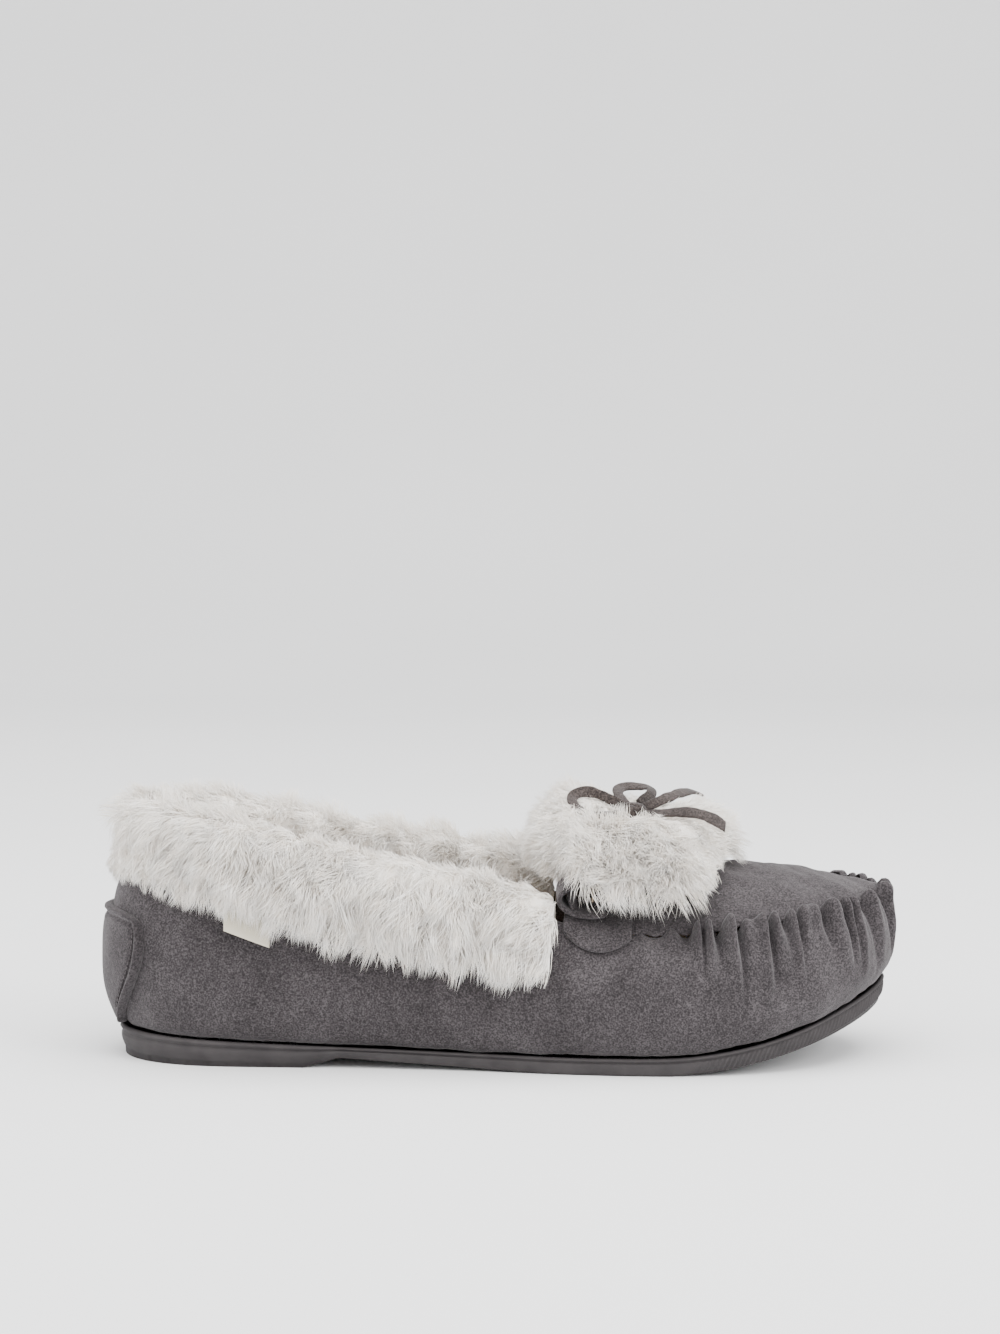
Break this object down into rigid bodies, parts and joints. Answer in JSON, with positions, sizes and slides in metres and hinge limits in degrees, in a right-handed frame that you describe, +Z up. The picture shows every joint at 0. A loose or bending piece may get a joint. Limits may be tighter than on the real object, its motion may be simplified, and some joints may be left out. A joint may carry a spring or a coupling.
{
  "type": "fluffy house slipper",
  "caption": "Moccasin house slipper in grey suede with a gathered toe, fur collar, fold-over fur cuff, lace bow and low rubber sole.",
  "frame": {"origin": "on the ground, under the middle of the slipper", "axes": "+X from heel to toe, +Y to the inner side of the right foot, +Z up"},
  "size_m": [0.2502, 0.0929, 0.0845],
  "materials": {
    "suede": "soft brushed suede nap, mottled grey",
    "fur": "long soft faux fur pile, off-white",
    "plush": "short beige plush pile",
    "sole_rubber": "matte moulded rubber, finely ribbed edge",
    "lace": "flat suede lace",
    "ribbon": "woven ribbon",
    "thread": "waxed sewing thread",
    "board": "pressed fibre board",
    "foam": "soft foam"
  },
  "bodies": {
    "slipper": {"outsole": "sole_rubber", "insole_board": "board", "foam_footbed": "foam", "sock": "plush", "vamp": "suede", "vamp_lining": "plush", "quarter_lining": "plush", "heel_stiffener": "board", "heel_patch": "suede", "apron": "suede", "apron_lining": "plush", "collar_fur": "fur", "side_label": "ribbon", "throat_tab_outer": "suede", "throat_tab_inner": "suede", "seam_stitches": "thread", "patch_stitches": "thread", "throat_stitches": "thread"},
    "cuff": {"tongue": "suede", "cuff_fur": "fur", "lace_bridge": "lace", "bow_knot": "lace", "bow_loop_outer": "lace", "bow_loop_inner": "lace", "bow_tail_outer": "lace", "bow_tail_inner": "lace"}
  },
  "joints": [
    {"name": "cuff_fold", "type": "hinge", "parent": "slipper", "child": "cuff", "pos_m": [0.027, 0, 0.06314], "axis": [0, -1, 0], "range_deg": [0, 30]}
  ]
}
